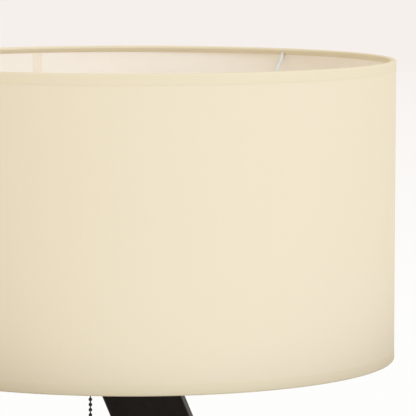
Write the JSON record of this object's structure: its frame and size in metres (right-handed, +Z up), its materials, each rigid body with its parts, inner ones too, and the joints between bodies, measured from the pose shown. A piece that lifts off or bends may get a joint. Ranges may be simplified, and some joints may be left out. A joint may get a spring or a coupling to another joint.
{
  "type": "tripod floor lamp",
  "caption": "Floor lamp with a drum shade on a wire harp and pull-chain socket, carried by leaning boards that meet on a steel hub.",
  "frame": {"origin": "on the floor, in the middle of the box round the three feet", "axes": "+Z up along the shade's axis, +X along the way the long leg leans, +Y towards the back leg's side; the shade's axis stands at x = -0.1315 m, y = 0"},
  "size_m": [0.8218, 0.948, 1.475],
  "materials": {
    "stained_wood": "near-black espresso stain under satin lacquer",
    "black_steel": "black powder coat",
    "zinc_steel": "zinc plated",
    "pad_rubber": "matt",
    "plain_brass": "plain",
    "bronze_paint": "dark bronze, satin",
    "nickel_plate": "satin nickel",
    "antique_brass": "darkened brass",
    "liner_card": "pressed insulating card",
    "dark_phenolic": "moulded phenolic",
    "chain_bronze": "oil-rubbed bronze",
    "opal_glass": "frosted white",
    "bulb_aluminium": "rolled",
    "white_wire": "white enamel",
    "shade_styrene": "matt white styrene",
    "shade_cloth": "cream ribbed cloth laminated to the liner",
    "tape_cloth": "folded cloth tape"
  },
  "bodies": {
    "root": {"long_leg": "stained_wood", "back_leg": "stained_wood", "front_leg": "stained_wood", "leg_hub": "black_steel", "hub_bolts": "zinc_steel", "hub_washers": "zinc_steel", "hub_cap_nuts": "zinc_steel", "long_leg_pad": "pad_rubber", "back_leg_pad": "pad_rubber", "front_leg_pad": "pad_rubber", "cord_grommet": "pad_rubber", "stem_insert": "plain_brass", "stem_tube": "zinc_steel", "check_ring": "bronze_paint", "stem_sleeve": "bronze_paint", "harp_saddle": "nickel_plate", "stem_lock_nut": "zinc_steel", "harp": "nickel_plate", "harp_seat": "nickel_plate", "socket_cap": "antique_brass", "socket_shell": "antique_brass", "socket_liner": "liner_card", "socket_core": "dark_phenolic", "screw_shell": "plain_brass", "centre_contact": "plain_brass", "rotor_pin": "zinc_steel", "bell_mouth": "antique_brass"},
    "shade": {"spider_washer": "white_wire", "spider_arms": "white_wire", "top_ring": "white_wire", "bottom_ring": "white_wire", "shade_liner": "shade_styrene", "shade_fabric": "shade_cloth", "top_tape": "tape_cloth", "bottom_tape": "tape_cloth"},
    "finial": {"finial": "chain_bronze"},
    "bulb": {"bulb_glass": "opal_glass", "bulb_base": "bulb_aluminium", "bulb_contact": "dark_phenolic"},
    "left_ferrule": {"left_ferrule": "nickel_plate"},
    "right_ferrule": {"right_ferrule": "nickel_plate"},
    "chain_lead": {"chain_lead": "chain_bronze"},
    "pull_chain": {"pull_chain": "chain_bronze", "chain_bell": "chain_bronze"},
    "switch_rotor": {"switch_rotor": "dark_phenolic"}
  },
  "joints": [
    {"name": "shade_turn", "type": "hinge", "parent": "root", "child": "shade", "pos_m": [-0.13153, 0, 1.426], "axis": [0, 0, 1], "continuous": true},
    {"name": "finial_turn", "type": "hinge", "parent": "root", "child": "finial", "pos_m": [-0.13153, 0, 1.4276], "axis": [0, 0, 1], "range_deg": [0, 2160]},
    {"name": "bulb_turn", "type": "hinge", "parent": "root", "child": "bulb", "pos_m": [-0.13153, 0, 1.27], "axis": [0, 0, 1], "range_deg": [0, 1800]},
    {"name": "left_ferrule_lift", "type": "slide", "parent": "root", "child": "left_ferrule", "axis": [0, 0, 1], "range_m": [0, 0.014]},
    {"name": "right_ferrule_lift", "type": "slide", "parent": "root", "child": "right_ferrule", "axis": [0, 0, 1], "range_m": [0, 0.014]},
    {"name": "chain_pull", "type": "slide", "parent": "root", "child": "chain_lead", "axis": [0, 0, -1], "range_m": [0, 0.01], "stiffness_N_per_m": 150, "springref_m": -0.01},
    {"name": "chain_swing", "type": "hinge", "parent": "chain_lead", "child": "pull_chain", "pos_m": [-0.16545, -0.02177, 1.2401], "axis": [0, 1, 0], "range_deg": [-15, 15]},
    {"name": "rotor_turn", "type": "hinge", "parent": "root", "child": "switch_rotor", "pos_m": [-0.13153, 0, 1.24473], "axis": [0.5402, -0.8415, 0], "range_deg": [0, 90]}
  ],
  "couplings": [
    {"joint": "rotor_turn", "follows": "chain_pull", "rad_per_m": 157}
  ]
}
